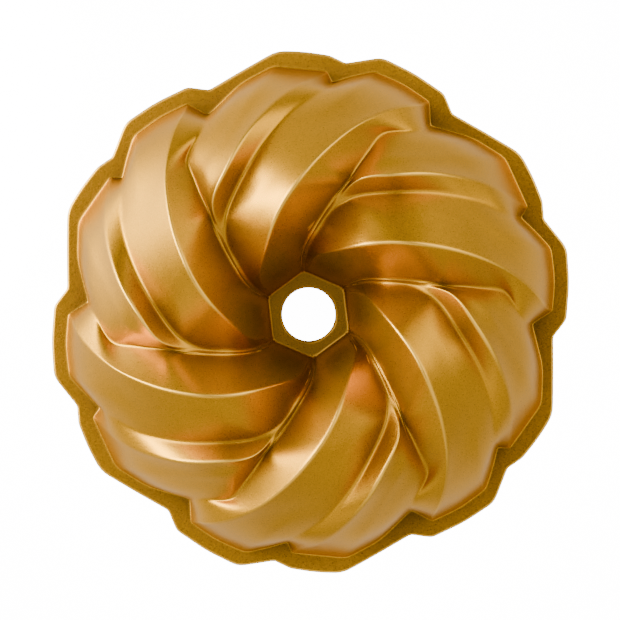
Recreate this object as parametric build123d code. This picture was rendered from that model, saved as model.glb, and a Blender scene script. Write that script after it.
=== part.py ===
from build123d import *
from math import cos, pi, radians, sin
import os

os.makedirs("parts", exist_ok=True)

# ---- driving dimensions (mm, degrees) -------------------------------------------------
UNITS = 6                 # the braid pattern repeats six times round the axis
PITCH = 360 / UNITS
WALL = 2.6                # full wall: coat + casting + lining
COAT = 0.4                # exterior coat, modelled thick so that it is a real solid
LINING = 0.4              # interior lining, modelled thick for the same reason
FLANGE_T = 3.0            # flange thickness
COAT_LOW = 0.8            # height at which the coat stops on the flange edge
EDGE_BEVEL = 0.9          # bevel on the top outer edge of the flange
HOLE_R = 13.2             # hole in the tube's end plate
PLATE_Z = 26.0            # outer face of the tube's end plate
HEX_R = 22.0              # corner radius of the hexagonal end plate
HEX_TURN = 36.4           # angle of the first hexagon corner
LIP = 1.0                 # height at which the lining starts inside the rim
FOOT = FLANGE_T           # height of the row where the dome leaves the flange

# Rails of one unit, from the flange up over the crown and down the tube.
# Each entry is (angle, radius, height); all rails have one entry per row.
BIG_CREST = [
    (0.5, 121.0, FOOT), (2.0, 117.3, 25), (5.0, 113.2, 39.5), (10, 105.2, 54),
    (15, 96.4, 66.5), (20.5, 86.2, 76.5), (27, 75.1, 85), (35, 63.3, 90),
    (44, 52.7, 88.5), (55, 42.3, 81.5), (70, 33.9, 66.5), (84, 28.6, 47.5)]
GROOVE = [
    (24.5, 115.3, FOOT), (25, 113.4, 23), (26, 110.8, 37), (31, 104.1, 46.5),
    (37, 96.5, 55), (45, 85.8, 63.5), (55, 74.2, 68.5), (65.5, 65.3, 66.5)]
SMALL_CREST = [
    (25.8, 120.8, FOOT), (28.5, 117.5, 19), (32.5, 113.2, 35.5), (38, 106.6, 49.5),
    (44, 98.8, 62), (51, 89.9, 72.5), (60, 79.8, 78), (69.6, 71.0, 74)]
VALLEY = [
    (57.3, 110.9, FOOT), (57.4, 109.6, 22), (58.2, 107.2, 35), (61.5, 102.7, 44),
    (67.2, 97.0, 50), (69.2, 86.9, 57.5), (71, 77.1, 63.5), (73.2, 68.2, 66)]
# Past the end of the small band its three rails run together down the valley.
VALLEY_FLOOR = [(75.9, 56.8, 64), (84, 42.4, 57.5), (90, 34.8, 49.5), (94.2, 28.4, 39.5)]
FLOOR_HALF = [2.7, 1.9, 1.6, 1.5]       # half width of the rounded valley floor
ROWS = len(BIG_CREST) + 1
NARROW = 4.0              # strips narrower than this share their neighbours' normals
MITRE_LIMIT = 1.15        # how far an inner corner may be drawn out past the wall

# Foot of the two bands between their rails: (share of the width, angle, radius).
BIG_FOOT = [(0.30, 7.7, 123.3), (0.60, 15.0, 124.6), (0.80, 20.0, 119.6)]
SMALL_FOOT = [(0.40, 38.5, 124.4), (0.68, 47.0, 119.4)]
BULGE_FADE = [1.0, 0.72, 0.42, 0.14]    # how the foot's bulge dies out row by row
# How many rows further out a straight line across the band's surface ends than it starts.
BIG_SLANT = [0, 0.5, 1.2, 1.6, 1.6, 1.6, 1.6, 1.5, 1.4, 1.0, 0.5, 0, 0]
SMALL_SLANT = [0, 0.4, 0.9, 1.4, 1.8, 1.9, 1.5, 0.8, 0, 0, 0, 0, 0]

# Flange outline of one unit: (angle, radius, corner rounding).
FLANGE = [(-5.5, 122.6, 2.5), (-1.6, 128.7, 5.0), (14.2, 132.9, 7.0),
          (22.0, 126.2, 3.0), (25.4, 129.3, 5.0), (37.2, 132.3, 9.0)]
FLANGE_BULGE = [0, 1.3, 0, 0, 0.8, 0.2]  # outward bow of the side after each corner


def polar(angle, radius, height=0.0):
    a = radians(angle)
    return Vector(radius * cos(a), radius * sin(a), height)


def hex_point(offset):
    """Point on the hexagon's outline, offset degrees past the unit's own corner."""
    reach = HEX_R * cos(radians(30)) / cos(radians(30 - abs(offset)))
    return polar(HEX_TURN + PITCH + offset, reach, PLATE_Z)


def shifted(point, angle_mm):
    """Move a valley point sideways, round the axis, by a length in mm."""
    angle, radius, height = point
    return polar(angle + angle_mm / radius * 180 / pi, radius, height)


def along(rail, row):
    """Point of a rail at a fractional row, on a smooth curve through its points."""
    i = min(max(int(row), 0), ROWS - 2)
    t = row - i
    p0, p1, p2, p3 = (rail[min(max(i + k, 0), ROWS - 1)] for k in (-1, 0, 1, 2))
    if i == 0:
        p0 = p1 * 2 - p2
    if i == ROWS - 2:
        p3 = p2 * 2 - p1
    return (p1 * 2 + (p2 - p0) * t + (p0 * 2 - p1 * 5 + p2 * 4 - p3) * t ** 2
            + (p1 * 3 - p0 - p2 * 3 + p3) * t ** 3) * 0.5


def between(rail_a, rail_b, foot, slant):
    """Rail on the surface of slanting straight lines from one rail to the next."""
    share, angle, radius = foot
    rail = []
    for row in range(ROWS):
        start = along(rail_a, row + share * slant[row])
        end = along(rail_b, row - (1 - share) * slant[row])
        rail.append(start * (1 - share) + end * share)
    bulge = polar(angle, radius, FOOT) - rail[0]
    for row, fade in enumerate(BULGE_FADE):
        rail[row] = rail[row] + bulge * fade
    return rail


def unit_rails():
    crest = [polar(*p) for p in BIG_CREST] + [hex_point(-4.0)]
    groove = [polar(*p) for p in GROOVE]
    floor = list(zip(VALLEY_FLOOR, FLOOR_HALF))
    groove += [shifted(p, -half) for p, half in floor] + [hex_point(-2.0)]
    small = [polar(*p) for p in SMALL_CREST]
    small += [polar(*p) - Vector(0, 0, 0.5) for p in VALLEY_FLOOR] + [hex_point(0)]
    valley = [polar(*p) for p in VALLEY]
    valley += [shifted(p, half) for p, half in floor] + [hex_point(2.0)]
    rails = [crest]
    rails += [between(crest, groove, foot, BIG_SLANT) for foot in BIG_FOOT]
    rails += [groove, small]
    rails += [between(small, valley, foot, SMALL_SLANT) for foot in SMALL_FOOT]
    rails += [valley]
    return rails


def full_grid():
    """Rows of points round the whole dome; one column per rail."""
    columns = []
    for unit in range(UNITS):
        for rail in unit_rails():
            columns.append([p.rotate(Axis.Z, unit * PITCH) for p in rail])
    return columns


def flat(vector):
    return Vector(vector.X, vector.Y, 0).normalized()


def neighbour(columns, j, row, step):
    """Nearest rail on one side that is at least NARROW away from rail j."""
    here = columns[j][row]
    k = j
    for _ in range(UNITS):
        k = (k + step) % len(columns)
        if (columns[k][row] - here).length >= NARROW:
            break
    return columns[k][row]


def inward(columns, depth, foot_z):
    """The same grid moved into the metal by depth, along the averaged normals."""
    if depth == 0:
        return columns
    moved = []
    for j, column in enumerate(columns):
        rail = []
        for row, here in enumerate(column):
            along = column[min(row + 1, ROWS - 1)] - column[max(row - 1, 0)]
            before = here - neighbour(columns, j, row, -1)
            after = neighbour(columns, j, row, 1) - here
            normal_a = before.cross(along).normalized()
            normal_b = after.cross(along).normalized()
            if row in (0, ROWS - 1):
                normal_a = flat(normal_a)
                normal_b = flat(normal_b)
            mean = (normal_a + normal_b).normalized()
            stretch = min(1 / mean.dot(normal_a), MITRE_LIMIT)
            point = here - mean * (depth * stretch)
            if row == 0:
                point.Z = foot_z
            if row == ROWS - 1:
                point.Z = PLATE_Z - depth
            rail.append(point)
        moved.append(rail)
    return moved


def row_marks(columns):
    """Shared spline parameters: mean distance from row to row."""
    marks = [0.0]
    for row in range(1, ROWS):
        steps = [(c[row] - c[row - 1]).length for c in columns]
        marks.append(marks[-1] + sum(steps) / len(steps))
    return marks


def dome(depth, foot_z):
    """Everything under the dome surface moved in by depth, as one closed solid."""
    base = full_grid()
    columns = inward(base, depth, foot_z)
    marks = row_marks(base)
    edges = [Edge.make_spline(c, parameters=marks) for c in columns]
    faces = []
    for j, edge in enumerate(edges):
        faces.append(Face.make_surface_from_curves(edge, edges[(j + 1) % len(edges)]))
    for row in (0, ROWS - 1):
        loop = [c[row] for c in columns]
        faces.append(Face(Wire.make_polygon(loop, close=True)))
    return Solid(Shell(faces))


def flange_outline():
    """Scalloped outline of the flange as a flat face at z = 0."""
    corners = []
    for unit in range(UNITS):
        for (angle, radius, rounding), bow in zip(FLANGE, FLANGE_BULGE):
            corners.append((polar(angle + unit * PITCH, radius), rounding, bow))
    edges = []
    for j, (start, rounding, bow) in enumerate(corners):
        end = corners[(j + 1) % len(corners)][0]
        if bow == 0:
            edges.append(Edge.make_line(start, end))
        else:
            middle = (start + end) * 0.5
            middle = middle + middle.normalized() * bow
            edges.append(Edge.make_three_point_arc(start, middle, end))
    face = Face(Wire(edges))
    for point, rounding, bow in corners:
        near = face.vertices().sort_by_distance(point)[0]
        face = face.fillet_2d(rounding, [near])
    return face


def slab(outline, depth, low, high, bevel):
    """Flat plate of the flange outline moved in by depth, bevelled on its top edge."""
    face = outline
    if depth > 0:
        face = Face(outline.outer_wire().offset_2d(-depth))
    plate = extrude(Pos(0, 0, low) * face, high - low, dir=(0, 0, 1))
    if bevel > 0:
        top = plate.faces().sort_by(Axis.Z)[-1]
        plate = chamfer(top.outer_wire().edges(), bevel)
    return plate


def cylinder_through():
    return Pos(0, 0, PLATE_Z / 2) * Cylinder(HOLE_R, 2 * PLATE_Z)


def only(shape):
    """The single solid of a boolean result."""
    solids = shape.solids()
    assert len(solids) == 1, len(solids)
    return solids[0]


outline = flange_outline()
core_bevel = EDGE_BEVEL - COAT * (2 - 2 ** 0.5)
core_top = FLANGE_T - COAT
full_body = slab(outline, 0, 0, FLANGE_T, EDGE_BEVEL) + dome(0, FLANGE_T)
core_body = slab(outline, 0, 0, COAT_LOW, 0)
core_body += slab(outline, COAT, COAT_LOW, core_top, core_bevel)
core_body += dome(COAT, core_top)
above_lip = Pos(0, 0, LIP + 100) * Box(400, 400, 200)
lining_space = dome(WALL - LINING, 0) & above_lip
cavity = dome(WALL, 0)
hole = cylinder_through()

casting = only(core_body - cavity - lining_space - hole)
coat = only(full_body - core_body - (Pos(0, 0, COAT_LOW / 2) * Box(400, 400, COAT_LOW)) - hole)
lining = only(lining_space - cavity - hole)

NODES = {
    "pan_casting": casting,
    "gold_exterior_coat": coat,
    "nonstick_interior_lining": lining,
}
for name, solid in NODES.items():
    export_step(solid, f"parts/{name}.step")
    print(name, solid.is_valid, round(solid.volume / 1000, 2), "cm3")
print("cake cavity below the rim plane", round(cavity.volume / 1e6, 3), "litres")
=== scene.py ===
from math import cos, pi, radians, sin

import bpy
import numpy as np
from mathutils import Matrix, Vector

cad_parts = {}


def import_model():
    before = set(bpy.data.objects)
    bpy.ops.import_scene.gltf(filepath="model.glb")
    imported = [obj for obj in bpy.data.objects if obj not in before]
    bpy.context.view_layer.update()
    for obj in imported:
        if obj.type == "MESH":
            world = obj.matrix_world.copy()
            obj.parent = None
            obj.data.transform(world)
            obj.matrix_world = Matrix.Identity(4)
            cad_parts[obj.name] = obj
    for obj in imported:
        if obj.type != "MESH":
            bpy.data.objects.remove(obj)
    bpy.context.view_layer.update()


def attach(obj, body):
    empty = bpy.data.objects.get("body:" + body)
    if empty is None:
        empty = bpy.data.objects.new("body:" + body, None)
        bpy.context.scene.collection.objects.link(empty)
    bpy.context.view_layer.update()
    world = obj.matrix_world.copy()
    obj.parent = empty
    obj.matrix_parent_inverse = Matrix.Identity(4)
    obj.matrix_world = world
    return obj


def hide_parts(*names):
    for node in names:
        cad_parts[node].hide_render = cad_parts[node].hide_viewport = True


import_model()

MM = 0.001

# ---- the pan's driving dimensions: mm and degrees, the same as the CAD model's ----------
UNITS = 6
PITCH = 360 / UNITS
WALL = 2.6
COAT = 0.4
LINING = 0.4
FLANGE_T = 3.0
COAT_LOW = 0.8            # height where the coat starts on the flange's edge
LIP = 1.0                 # height where the lining starts at the inner lip
HOLE_R = 13.2
PLATE_Z = 26.0
HEX_R = 22.0
HEX_TURN = 36.4

# Rails of one unit from the flange over the crown and down the tube: angle, radius, height.
BIG_CREST = [
    (0.5, 121.0, 3), (2.0, 117.3, 25), (5.0, 113.2, 39.5), (10, 105.2, 54),
    (15, 96.4, 66.5), (20.5, 86.2, 76.5), (27, 75.1, 85), (35, 63.3, 90),
    (44, 52.7, 88.5), (55, 42.3, 81.5), (70, 33.9, 66.5), (84, 28.6, 47.5)]
GROOVE = [
    (24.5, 115.3, 3), (25, 113.4, 23), (26, 110.8, 37), (31, 104.1, 46.5),
    (37, 96.5, 55), (45, 85.8, 63.5), (55, 74.2, 68.5), (65.5, 65.3, 66.5)]
SMALL_CREST = [
    (25.8, 120.8, 3), (28.5, 117.5, 19), (32.5, 113.2, 35.5), (38, 106.6, 49.5),
    (44, 98.8, 62), (51, 89.9, 72.5), (60, 79.8, 78), (69.6, 71.0, 74)]
VALLEY = [
    (57.3, 110.9, 3), (57.4, 109.6, 22), (58.2, 107.2, 35), (61.5, 102.7, 44),
    (67.2, 97.0, 50), (69.2, 86.9, 57.5), (71, 77.1, 63.5), (73.2, 68.2, 66)]
# Where groove, small crest and valley have met: one flat floor with its half widths.
VALLEY_FLOOR = [(75.9, 56.8, 64), (84, 42.4, 57.5), (90, 34.8, 49.5), (94.2, 28.4, 39.5)]
FLOOR_HALF = [2.7, 1.9, 1.6, 1.5]
SMALL_CREST_DIP = 0.5     # how far the small crest lies below that floor
# Turns of the rails' ends along the hexagon, from its corner.
CREST_END, GROOVE_END, VALLEY_END = -4.0, -2.0, 2.0
# How many rows further out a straight line across the band's surface ends than it starts.
BIG_SLANT = [0, 0.5, 1.2, 1.6, 1.6, 1.6, 1.6, 1.5, 1.4, 1.0, 0.5, 0, 0]
SMALL_SLANT = [0, 0.4, 0.9, 1.4, 1.8, 1.9, 1.5, 0.8, 0, 0, 0, 0, 0]
ROWS = len(BIG_CREST) + 1
NARROW = 4.0              # neighbours nearer than this say too little about the slope
MITRE_LIMIT = 1.15
# Rails between two others: share of the way across, then angle and radius at the flange.
BIG_FOOT = [(0.30, 7.7, 123.3), (0.60, 15.0, 124.6), (0.80, 20.0, 119.6)]
SMALL_FOOT = [(0.40, 38.5, 124.4), (0.68, 47.0, 119.4)]
# How much of the outward bulge at the flange is left in the first rows.
BULGE_FADE = [1.0, 0.72, 0.42, 0.14]

# Flange outline of one unit: angle, radius, corner rounding, outward bow of the next side.
FLANGE = [(-5.5, 122.6, 2.5, 0), (-1.6, 128.7, 5.0, 1.3), (14.2, 132.9, 7.0, 0),
          (22.0, 126.2, 3.0, 0), (25.4, 129.3, 5.0, 0.8), (37.2, 132.3, 9.0, 0.2)]
SIDE_SOFT = 6.0           # rounding at the middle of a side

# ---- roundings: mm ----------------------------------------------------------------------
# How far to either side of a rail its corner is rounded, by rail.
CREST_SOFT = 1.0
GROOVE_SOFT = 1.6
SOFT = [CREST_SOFT, 6.0, 2.5, 4.0, GROOVE_SOFT, CREST_SOFT, 3.0, 6.0, GROOVE_SOFT]
EDGE_BEVEL = 0.9
EDGE_SOFT = 0.25
FOOT_FILLET = 1.1
PLATE_FILLET = 1.0

# ---- mesh fineness ----------------------------------------------------------------------
COLUMNS = 84              # points of one unit's section
STEPS = 104               # rows between the flange and the tube end on the visible sides
HIDDEN_STEPS = STEPS // 2
PLATE_RINGS = 5           # rings on the end plate
HIDDEN_PLATE_RINGS = 2
FLANGE_RINGS = 7
FOOT_FILLET_RINGS = 6
PLATE_FILLET_RINGS = 4
FLANGE_EVENED = 9         # neighbours on either side that a ring's angles are averaged over
PLATE_EVENED = 12
SECTION_FINE = 3000       # points of three units' section while it is rounded
OUTLINE_FINE = 20000      # points of the flange outline while it is rounded
ROUNDING_PASSES = 2
TINY = 1e-6
# Share of one unit's columns spent on the stretch after each rail.
SPEND = [0.09, 0.09, 0.06, 0.09, 0.12, 0.11, 0.08, 0.10, 0.26]
# No stretch is given less than this share of the section, so that columns never bunch up.
LEAST_SHARE = 0.035


def polar(angle, radius, height=0.0):
    a = radians(angle)
    return np.array([radius * cos(a), radius * sin(a), height])


def turn(points, angle):
    c, s = cos(radians(angle)), sin(radians(angle))
    return points @ np.array([[c, s, 0], [-s, c, 0], [0, 0, 1]])


def unit(v):
    return v / np.linalg.norm(v)


# ---- rails ------------------------------------------------------------------------------
def hex_point(offset):
    reach = HEX_R * cos(radians(30)) / cos(radians(30 - abs(offset)))
    return polar(HEX_TURN + PITCH + offset, reach, PLATE_Z)


def shifted(point, sideways):
    angle, radius, height = point
    return polar(angle + sideways / radius * 180 / pi, radius, height)


def along(rail, row):
    """Point of a rail at a fractional row, on a smooth curve through its points."""
    i = min(max(int(row), 0), ROWS - 2)
    t = row - i
    p0, p1, p2, p3 = (rail[min(max(i + k, 0), ROWS - 1)] for k in (-1, 0, 1, 2))
    if i == 0:
        p0 = p1 * 2 - p2
    if i == ROWS - 2:
        p3 = p2 * 2 - p1
    return (p1 * 2 + (p2 - p0) * t + (p0 * 2 - p1 * 5 + p2 * 4 - p3) * t ** 2
            + (p1 * 3 - p0 - p2 * 3 + p3) * t ** 3) * 0.5


def between(rail_a, rail_b, foot, slant):
    """Rail on the surface of slanting straight lines from one rail to the next."""
    share, angle, radius = foot
    line = []
    for row in range(ROWS):
        out = slant[row]
        line.append(along(rail_a, row + share * out) * (1 - share)
                    + along(rail_b, row - (1 - share) * out) * share)
    fade = np.zeros((ROWS, 1))
    fade[:len(BULGE_FADE), 0] = BULGE_FADE
    return np.array(line) + (polar(angle, radius, FLANGE_T) - line[0]) * fade


def unit_rails():
    sides = list(zip(VALLEY_FLOOR, FLOOR_HALF))
    dip = np.array([0, 0, SMALL_CREST_DIP])
    crest = [polar(*p) for p in BIG_CREST] + [hex_point(CREST_END)]
    groove = [polar(*p) for p in GROOVE]
    groove += [shifted(p, -half) for p, half in sides] + [hex_point(GROOVE_END)]
    small = [polar(*p) for p in SMALL_CREST]
    small += [polar(*p) - dip for p in VALLEY_FLOOR] + [hex_point(0)]
    valley = [polar(*p) for p in VALLEY]
    valley += [shifted(p, half) for p, half in sides] + [hex_point(VALLEY_END)]
    crest, groove, small, valley = map(np.array, (crest, groove, small, valley))
    rails = [crest] + [between(crest, groove, foot, BIG_SLANT) for foot in BIG_FOOT]
    rails += [groove, small]
    rails += [between(small, valley, foot, SMALL_SLANT) for foot in SMALL_FOOT]
    return rails + [valley]


def full_grid():
    """All rails round the dome: array of columns by rows by 3."""
    return np.array([turn(rail, i * PITCH) for i in range(UNITS) for rail in unit_rails()])


def neighbour(grid, j, row, step):
    """The nearest point on one side, in the same row, that isn't too close."""
    k = j
    for _ in range(UNITS):
        k = (k + step) % len(grid)
        if np.linalg.norm(grid[k][row] - grid[j][row]) >= NARROW:
            break
    return grid[k][row]


def inward(grid, depth):
    """The rails moved into the metal by depth."""
    moved = grid.copy()
    if depth == 0:
        return moved
    per_unit = len(grid) // UNITS
    for j in range(per_unit):
        for row in range(ROWS):
            here = grid[j][row]
            onward = grid[j][min(row + 1, ROWS - 1)] - grid[j][max(row - 1, 0)]
            normal_a = np.cross(here - neighbour(grid, j, row, -1), onward)
            normal_b = np.cross(neighbour(grid, j, row, 1) - here, onward)
            if row in (0, ROWS - 1):
                normal_a[2] = normal_b[2] = 0
            mean = unit(unit(normal_a) + unit(normal_b))
            stretch = min(1 / mean.dot(unit(normal_a)), MITRE_LIMIT)
            moved[j][row] = here - mean * depth * stretch
        moved[j][-1][2] = PLATE_Z - depth
    for j in range(per_unit, len(grid)):
        moved[j] = turn(moved[j % per_unit], (j // per_unit) * PITCH)
    return moved


# ---- curves and rings -------------------------------------------------------------------
def spline(marks, values, at):
    """Natural cubic spline through values at marks, read at the places in at."""
    n = len(marks)
    h = np.diff(marks)
    system = np.eye(n)
    right = np.zeros((n,) + values.shape[1:])
    for i in range(1, n - 1):
        system[i, i - 1:i + 2] = h[i - 1], 2 * (h[i - 1] + h[i]), h[i]
        rise = (values[i + 1] - values[i]) / h[i] - (values[i] - values[i - 1]) / h[i - 1]
        right[i] = 6 * rise
    bend = np.linalg.solve(system, right.reshape(n, -1)).reshape(right.shape)
    i = np.clip(np.searchsorted(marks, at, side="right") - 1, 0, n - 2)
    shape = (-1,) + (1,) * (values.ndim - 1)
    step = h[i].reshape(shape)
    b = (at - marks[i]).reshape(shape) / step
    a = 1 - b
    curve = (a ** 3 - a) * bend[i] + (b ** 3 - b) * bend[i + 1]
    return a * values[i] + b * values[i + 1] + curve * step ** 2 / 6


def from_zero(steps):
    return np.concatenate([[0], np.cumsum(steps)])


def path_length(points):
    """Length of the path up to each of its points."""
    return from_zero(np.linalg.norm(np.diff(points, axis=0), axis=1))


def read_at(places, marks, points):
    """Points of a path, given at marks, read at the places."""
    return np.stack([np.interp(places, marks, points[:, k])
                     for k in range(points.shape[1])], axis=1)


def averaged(places, line, reach):
    """A line of points at places, averaged at each place over reach to either side."""
    total = np.zeros_like(line)
    gap = np.diff(places)[:, None]
    total[1:] = np.cumsum((line[1:] + line[:-1]) / 2 * gap, axis=0)
    low = np.clip(places - reach, places[0], places[-1])
    high = np.clip(places + reach, places[0], places[-1])
    width = np.maximum(high - low, TINY)[:, None]
    return (read_at(high, places, total) - read_at(low, places, total)) / width


def section(points):
    """One unit of a closed, six-fold section: rounded and resampled to COLUMNS points."""
    rails = len(points)
    loop = np.concatenate([turn(points, -PITCH), points, turn(points, PITCH)])
    length = path_length(loop)
    period = length[rails] - length[0]
    dense = np.linspace(length[0], length[-1], SECTION_FINE)
    line = read_at(dense, length, loop)
    soft = np.interp(dense, length, np.tile(SOFT, 3))
    for _ in range(ROUNDING_PASSES):
        line = averaged(dense, line, soft / ROUNDING_PASSES ** 0.5)
    share = np.diff(length[rails:2 * rails + 1]) / period
    share = np.maximum(share, LEAST_SHARE)
    edges = length[rails] + period * from_zero(share / share.sum())
    marks = from_zero(SPEND) / sum(SPEND)
    where = np.interp(np.arange(COLUMNS) / COLUMNS, marks, edges)
    return read_at(where, dense, line)


BASE = full_grid()
MARKS = from_zero(np.mean(np.linalg.norm(np.diff(BASE, axis=1), axis=2), axis=0))


def whole(unit_ring):
    """A one-unit ring repeated round the axis."""
    return np.concatenate([turn(unit_ring, i * PITCH) for i in range(UNITS)])


def dome_rings(depth, foot_z, steps):
    """Rounded rings of the dome surface moved in by depth, foot first."""
    grid = inward(BASE, depth)
    grid[:, 0, 2] = foot_z
    rails = len(grid) // UNITS
    at = np.linspace(0, MARKS[-1], steps + 1)
    fine = spline(MARKS, np.swapaxes(grid[:rails], 0, 1), at)
    return [whole(section(row)) for row in fine]


def angles_of(points):
    """Angles of points round the axis, rising all the way."""
    return np.unwrap(np.arctan2(points[:, 1], points[:, 0]))


def evened(angle, reach):
    """A ring's angles averaged over their neighbours, still rising all the way."""
    padded = np.concatenate([angle[-reach:] - 2 * pi, angle, angle[:reach] + 2 * pi])
    kernel = np.ones(2 * reach + 1) / (2 * reach + 1)
    return np.convolve(padded, kernel, mode="valid")


def outline_radius(angles):
    """Radius of the flange's scalloped edge at each angle."""
    points, soft = [], []
    for k, (angle, radius, rounding, bow) in enumerate(FLANGE):
        here = polar(angle, radius)
        after = FLANGE[(k + 1) % len(FLANGE)]
        there = polar(after[0] + (PITCH if k == len(FLANGE) - 1 else 0), after[1])
        middle = (here + there) / 2
        points += [here, middle + unit(middle) * bow]
        soft += [rounding / 2, SIDE_SOFT]
    loop = np.concatenate([turn(np.array(points), i * PITCH) for i in range(-1, UNITS + 1)])
    length = path_length(loop)
    dense = np.linspace(0, length[-1], OUTLINE_FINE)
    width = np.interp(dense, length, soft * (UNITS + 2))
    line = averaged(dense, read_at(dense, length, loop), width)
    theta = angles_of(line)
    theta += 2 * pi * round((radians(-PITCH) - theta[0]) / (2 * pi))
    return np.interp(angles, theta, np.hypot(line[:, 0], line[:, 1]))


def ring(angle, radius, height):
    return np.stack([radius * np.cos(angle), radius * np.sin(angle),
                     np.full(len(angle), float(height))], axis=1)


def blend(ring_a, ring_b, shares):
    return [ring_a * (1 - t) + ring_b * t for t in shares]


def rounded_corner(before, corner, after, reach, steps):
    """Rings that blend round a corner between two neighbouring bands of rings."""
    a = before - corner
    b = after - corner
    start = corner + a * (reach / np.linalg.norm(a, axis=1)[:, None])
    end = corner + b * (reach / np.linalg.norm(b, axis=1)[:, None])
    return [start * (1 - t) ** 2 + corner * 2 * t * (1 - t) + end * t ** 2
            for t in np.linspace(0, 1, steps)]


def flange_rows(foot, above, depth, low):
    """Rings from the flange's edge, at height low, inwards and up round the foot."""
    angle = evened(angles_of(foot), FLANGE_EVENED)
    top = FLANGE_T - depth
    bevel = EDGE_BEVEL - depth * (2 - 2 ** 0.5)      # narrower on an inner face
    outer = outline_radius(angle) - depth
    rows = [ring(angle, outer, low),
            ring(angle, outer, top - bevel - EDGE_SOFT),
            ring(angle, outer - EDGE_SOFT * 0.3, top - bevel + EDGE_SOFT * 0.5),
            ring(angle, outer - bevel + EDGE_SOFT * 0.5, top - EDGE_SOFT * 0.3),
            ring(angle, outer - bevel - EDGE_SOFT, top)]
    inner = ring(angle, outer - bevel - EDGE_SOFT * 3, top)
    corner = rounded_corner(inner, foot, above, FOOT_FILLET, FOOT_FILLET_RINGS)
    across = np.linspace(0, 1, FLANGE_RINGS + 1)[:-1]
    return rows + blend(inner, corner[0], across) + corner


def plate_rows(last, depth, count):
    """Rings on the tube's end plate, from the hexagon to the round hole."""
    angle = evened(angles_of(last), PLATE_EVENED)
    hole = ring(angle, HOLE_R, PLATE_Z - depth)
    return blend(last, hole, np.linspace(0, 1, count + 1)[1:])


def skin(depth, foot_z, steps, plates, low=None):
    """All rings of one side of a layer, from its foot or flange edge to the hole."""
    rows = dome_rings(depth, foot_z, steps)
    plate = plate_rows(rows[-1], depth, plates)
    corner = rounded_corner(rows[-2], rows[-1], plate[0], PLATE_FILLET, PLATE_FILLET_RINGS)
    if low is None:
        start = rows[:2]
    else:
        start = flange_rows(rows[0], rows[1], depth, low)
    return start + rows[2:-1] + corner + plate


def closed_piece(node, rings, paint):
    """A closed ring-shaped mesh: every ring joins the next, and the last the first."""
    count = len(rings[0])
    points = np.concatenate(rings) * MM
    faces = []
    for i in range(len(rings)):
        k = (i + 1) % len(rings)
        for j in range(count):
            n = (j + 1) % count
            faces.append((i * count + j, i * count + n, k * count + n, k * count + j))
    mesh = bpy.data.meshes.new(node)
    mesh.from_pydata(points.tolist(), [], faces)
    mesh.polygons.foreach_set("use_smooth", np.ones(len(faces), dtype=bool))
    mesh.materials.append(paint)
    mesh.update()
    piece = bpy.data.objects.new(node, mesh)
    bpy.context.scene.collection.objects.link(piece)
    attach(piece, "root")
    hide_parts(node)


# ---- shader nodes -----------------------------------------------------------------------
# Sockets of a Mix node that mixes colours: factor, the two colours and the result.
MIX_FACTOR, MIX_LOW, MIX_HIGH, MIX_RESULT = 0, 6, 7, 2
# Noise lies between these for nearly all of a surface.
NOISE_LOW, NOISE_HIGH = 0.3, 0.7


def material(name):
    made = bpy.data.materials.new(name)
    made.use_nodes = True
    tree = made.node_tree
    return made, tree, tree.nodes["Principled BSDF"]


def feed(tree, value, socket):
    """Link a node's output to an input, or set the input to a fixed value."""
    if isinstance(value, bpy.types.NodeSocket):
        tree.links.new(value, socket)
    else:
        socket.default_value = value


def place_of(tree, kind="Object"):
    return tree.nodes.new("ShaderNodeTexCoord").outputs[kind]


def noise(tree, scale, detail):
    made = tree.nodes.new("ShaderNodeTexNoise")
    made.inputs["Scale"].default_value = scale
    made.inputs["Detail"].default_value = detail
    tree.links.new(place_of(tree), made.inputs["Vector"])
    return made.outputs["Fac"]


def spread(tree, source, low, high, from_low=NOISE_LOW, from_high=NOISE_HIGH, smooth=False):
    """Number that goes from low to high while the source goes over its own range."""
    made = tree.nodes.new("ShaderNodeMapRange")
    if smooth:
        made.interpolation_type = "SMOOTHSTEP"
    made.inputs["From Min"].default_value = from_low
    made.inputs["From Max"].default_value = from_high
    made.inputs["To Min"].default_value = low
    made.inputs["To Max"].default_value = high
    tree.links.new(source, made.inputs["Value"])
    return made.outputs["Result"]


def mixed(tree, factor, low, high):
    """Colour that goes from low to high while the factor goes from 0 to 1."""
    made = tree.nodes.new("ShaderNodeMix")
    made.data_type = "RGBA"
    feed(tree, factor, made.inputs[MIX_FACTOR])
    feed(tree, low, made.inputs[MIX_LOW])
    feed(tree, high, made.inputs[MIX_HIGH])
    return made.outputs[MIX_RESULT]


def calculated(tree, kind, operation, *values):
    """Number that a Math or VectorMath node works out from numbers, vectors or outputs."""
    made = tree.nodes.new("ShaderNode" + kind)
    made.operation = operation
    for value, socket in zip(values, made.inputs):
        feed(tree, value, socket)
    return made.outputs["Value"]


# ---- materials --------------------------------------------------------------------------
GOLD_DARK = (0.46, 0.218, 0.005, 1)
GOLD_LIGHT = (0.73, 0.348, 0.009, 1)
GOLD_METALLIC = 0.82
GOLD_ROUGHNESS = (0.27, 0.36)
GOLD_TINT = (1.0, 0.90, 0.76, 1)
GRAIN_SCALE, GRAIN_DETAIL, GRAIN_SHARE = 1500, 2.0, 0.7
CLOUD_SCALE, CLOUD_DETAIL, CLOUD_SHARE = 18, 3.0, 0.3
BUMP_STRENGTH = 0.25
BUMP_DISTANCE = 0.0002
# Painted shade: the gold is darkened in hollows, where less light reaches: how far round a
# point is looked at, the painted shade colour, and the openness where gold starts and is
# full.
SHADE_REACH = 0.05
SHADE_SAMPLES = 8
PAINTED_SHADE_GOLD = (0.13, 0.078, 0.024, 1)
PAINTED_SHADE_FROM = (0.22, 0.85)
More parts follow.
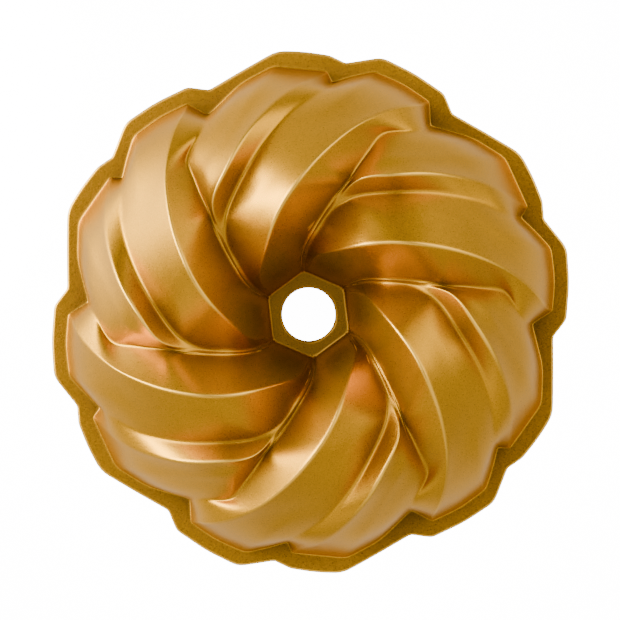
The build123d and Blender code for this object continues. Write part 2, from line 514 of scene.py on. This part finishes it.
# Painted highlight: sharp raised edges are painted brighter gold: colour, the pointiness
# where it starts and is full, and the distance from the origin beyond which it does, which
# leaves the end plate out.
EDGE_HIGHLIGHT_GOLD = (1.0, 0.60, 0.10, 1)
EDGE_HIGHLIGHT_FROM = (0.515, 0.56)
EDGE_HIGHLIGHT_BEYOND = (0.036, 0.045)

LINING_DARK = (0.36, 0.23, 0.08, 1)
LINING_LIGHT = (0.44, 0.29, 0.10, 1)
LINING_METALLIC = 0.7
LINING_ROUGHNESS = (0.42, 0.55)
LINING_GRAIN = (900, 3.0)
CAST_COLOUR = (0.60, 0.60, 0.61, 1)
CAST_ROUGHNESS = (0.35, 0.55)
CAST_GRAIN = (700, 3.0)


def gold_coat():
    made, tree, shader = material("gold_coat")
    grain = noise(tree, GRAIN_SCALE, GRAIN_DETAIL)
    cloud = noise(tree, CLOUD_SCALE, CLOUD_DETAIL)
    mottle = calculated(tree, "Math", "ADD", spread(tree, grain, 0, GRAIN_SHARE),
                        spread(tree, cloud, 0, CLOUD_SHARE))
    colour = mixed(tree, mottle, GOLD_DARK, GOLD_LIGHT)
    # Painted shade: the gold turns darker where the ambient occlusion finds hollows.
    hollow = tree.nodes.new("ShaderNodeAmbientOcclusion")
    hollow.samples = SHADE_SAMPLES
    hollow.inputs["Distance"].default_value = SHADE_REACH
    openness = spread(tree, hollow.outputs["AO"], 0, 1, *PAINTED_SHADE_FROM)
    colour = mixed(tree, openness, PAINTED_SHADE_GOLD, colour)
    # Painted highlight: brighter gold on sharp raised edges, kept off the end plate.
    form = tree.nodes.new("ShaderNodeNewGeometry")
    reach = calculated(tree, "VectorMath", "LENGTH", place_of(tree))
    painted_edge_highlight = calculated(tree, "Math", "MULTIPLY",
                        spread(tree, form.outputs["Pointiness"], 0, 1, *EDGE_HIGHLIGHT_FROM),
                        spread(tree, reach, 0, 1, *EDGE_HIGHLIGHT_BEYOND))
    colour = mixed(tree, painted_edge_highlight, colour, EDGE_HIGHLIGHT_GOLD)
    tree.links.new(colour, shader.inputs["Base Color"])
    shader.inputs["Metallic"].default_value = GOLD_METALLIC
    tree.links.new(spread(tree, grain, *GOLD_ROUGHNESS), shader.inputs["Roughness"])
    shader.inputs["Specular Tint"].default_value = GOLD_TINT
    bump = tree.nodes.new("ShaderNodeBump")
    bump.inputs["Strength"].default_value = BUMP_STRENGTH
    bump.inputs["Distance"].default_value = BUMP_DISTANCE
    tree.links.new(grain, bump.inputs["Height"])
    tree.links.new(bump.outputs["Normal"], shader.inputs["Normal"])
    return made


def nonstick():
    made, tree, shader = material("nonstick")
    grain = noise(tree, *LINING_GRAIN)
    colour = mixed(tree, spread(tree, grain, 0, 1), LINING_DARK, LINING_LIGHT)
    tree.links.new(colour, shader.inputs["Base Color"])
    shader.inputs["Metallic"].default_value = LINING_METALLIC
    tree.links.new(spread(tree, grain, *LINING_ROUGHNESS), shader.inputs["Roughness"])
    return made


def cast_metal():
    made, tree, shader = material("cast_metal")
    grain = noise(tree, *CAST_GRAIN)
    shader.inputs["Base Color"].default_value = CAST_COLOUR
    shader.inputs["Metallic"].default_value = 1.0
    tree.links.new(spread(tree, grain, *CAST_ROUGHNESS), shader.inputs["Roughness"])
    return made


def on_ground(points):
    """The ring moved straight down to the plane the pan rests on."""
    return points * np.array([1, 1, 0])


def build_pan():
    coat_out = skin(0.0, FLANGE_T, STEPS, PLATE_RINGS, low=COAT_LOW)
    coat_in = skin(COAT, FLANGE_T - COAT, HIDDEN_STEPS, HIDDEN_PLATE_RINGS, low=COAT_LOW)
    metal_in = skin(WALL - LINING, LIP, HIDDEN_STEPS, HIDDEN_PLATE_RINGS)
    cake_side = skin(WALL, LIP, STEPS, PLATE_RINGS)
    edge, lip = coat_out[0], cake_side[0]
    casting = [on_ground(lip), on_ground(edge), edge] + coat_in + metal_in[::-1] + [lip]
    closed_piece("gold_exterior_coat", coat_out + coat_in[::-1], gold_coat())
    closed_piece("pan_casting", casting, cast_metal())
    closed_piece("nonstick_interior_lining", metal_in + cake_side[::-1], nonstick())


# ---- floor, light and camera: metres and degrees ----------------------------------------
FLOOR_EDGE = 6.0          # half the floor's width
FLOOR_Z = -0.0002
FLOOR_COLOUR = (0.2, 0.2, 0.2, 1)
FLOOR_ROUGHNESS = 0.8
WHITE = (1, 1, 1, 1)
# The floor glows for the camera. For reflections it glows less: nothing under the pan, most
# beside it and little far away, with the distances from the pan's axis where that changes.
FLOOR_GLOW = 15.0
FLOOR_NEAR = 0.66
FLOOR_FAR = 0.12
FLOOR_START = (0.1, 0.125)
FLOOR_FADE = (0.16, 0.24)
# A bright card lying on the floor to the upper left.
CARD_PLACE = (-0.30, 0.12, 0)
CARD_FADE = (0.05, 0.19)
CARD_GLOW = 6.0
SKY_COLOUR = (1.0, 0.95, 0.66, 1)
# Soft lights on the sky: azimuth, elevation, full and outer half width, brightness.
GLOWS = [
    (0, 90, 179, 180, 0.08),       # the room, all round
    (155, 8, 5, 22, 22.0),         # key, low from the left
    (176, 27, 6, 22, 10.0),        # a second one above it
    (150, 36, 8, 46, 1.6),         # broad, from the upper left
    (36, 28, 8, 42, 3.0),          # fill from the upper right
    (345, 32, 8, 40, 1.0),         # weaker fill from the right
    (240, 32, 8, 46, 1.1),         # fill from the lower left
    (298, 30, 8, 46, 0.8),         # fill from the lower right
    (150, 60, 6, 32, 1.7),         # overhead, for the flat rim
]
CAMERA_FAR = 1.8
CAMERA_LEAN = 0.0455      # sideways shift of the camera for each metre of its height
LEAN_TO = (0.59, 0.807)
FRAME_WIDTH = 0.3112      # what the picture shows at the floor, from side to side
AIM_UP = 0.00125          # how far above the pan's centre in the picture the camera aims
SENSOR = 36
CLIP = (0.05, 50)


def floor():
    e = FLOOR_EDGE
    mesh = bpy.data.meshes.new("floor")
    corners = [(-e, -e, FLOOR_Z), (e, -e, FLOOR_Z), (e, e, FLOOR_Z), (-e, e, FLOOR_Z)]
    mesh.from_pydata(corners, [], [(0, 1, 2, 3)])
    plane = bpy.data.objects.new("floor", mesh)
    bpy.context.scene.collection.objects.link(plane)
    made, tree, shader = material("floor_white")
    link = tree.links.new
    shader.inputs["Base Color"].default_value = FLOOR_COLOUR
    shader.inputs["Roughness"].default_value = FLOOR_ROUGHNESS
    shader.inputs["Emission Color"].default_value = WHITE
    seen = tree.nodes.new("ShaderNodeLightPath").outputs["Is Camera Ray"]
    reach = calculated(tree, "VectorMath", "LENGTH", place_of(tree))
    beside = spread(tree, reach, 0, FLOOR_NEAR, *FLOOR_START)
    fading = spread(tree, reach, 0, FLOOR_FAR - FLOOR_NEAR, *FLOOR_FADE)
    from_card = calculated(tree, "VectorMath", "DISTANCE", place_of(tree), CARD_PLACE)
    card = spread(tree, from_card, CARD_GLOW, 0, *CARD_FADE)
    reflected = calculated(tree, "Math", "ADD", beside, fading)
    reflected = calculated(tree, "Math", "ADD", reflected, card)
    glow = calculated(tree, "Math", "MULTIPLY_ADD", seen, FLOOR_GLOW, reflected)
    link(glow, shader.inputs["Emission Strength"])
    # Seen from below, the floor isn't there.
    see_through = tree.nodes.new("ShaderNodeBsdfTransparent")
    sides = tree.nodes.new("ShaderNodeNewGeometry")
    mix = tree.nodes.new("ShaderNodeMixShader")
    link(sides.outputs["Backfacing"], mix.inputs[0])
    link(shader.outputs[0], mix.inputs[1])
    link(see_through.outputs[0], mix.inputs[2])
    link(mix.outputs[0], tree.nodes["Material Output"].inputs["Surface"])
    mesh.materials.append(made)


def direction(azimuth, elevation):
    a, e = radians(azimuth), radians(elevation)
    return (cos(e) * cos(a), cos(e) * sin(a), sin(e))


def world():
    made = bpy.data.worlds.new("studio")
    made.use_nodes = True
    tree = made.node_tree
    outward = place_of(tree, "Generated")
    total = 0.0
    for azimuth, elevation, inner, outer, glow in GLOWS:
        facing = calculated(tree, "VectorMath", "DOT_PRODUCT", outward,
                            direction(azimuth, elevation))
        lobe = spread(tree, facing, 0, glow, cos(radians(outer)), cos(radians(inner)),
                      smooth=True)
        total = calculated(tree, "Math", "ADD", total, lobe)
    back = tree.nodes["Background"]
    tree.links.new(total, back.inputs["Strength"])
    back.inputs["Color"].default_value = SKY_COLOUR
    bpy.context.scene.world = made


def camera():
    data = bpy.data.cameras.new("camera")
    data.sensor_width = SENSOR
    data.lens = SENSOR * CAMERA_FAR / FRAME_WIDTH
    data.clip_start, data.clip_end = CLIP
    made = bpy.data.objects.new("camera", data)
    bpy.context.scene.collection.objects.link(made)
    lean = CAMERA_LEAN * CAMERA_FAR
    made.location = (lean * LEAN_TO[0], lean * LEAN_TO[1], CAMERA_FAR)
    made.rotation_mode = "QUATERNION"
    back = (made.location - Vector((0, AIM_UP, 0))).normalized()
    right = Vector((0, 1, 0)).cross(back).normalized()
    up = back.cross(right)
    made.rotation_quaternion = Matrix((right, up, back)).transposed().to_quaternion()
    bpy.context.scene.camera = made


build_pan()
floor()
world()
camera()
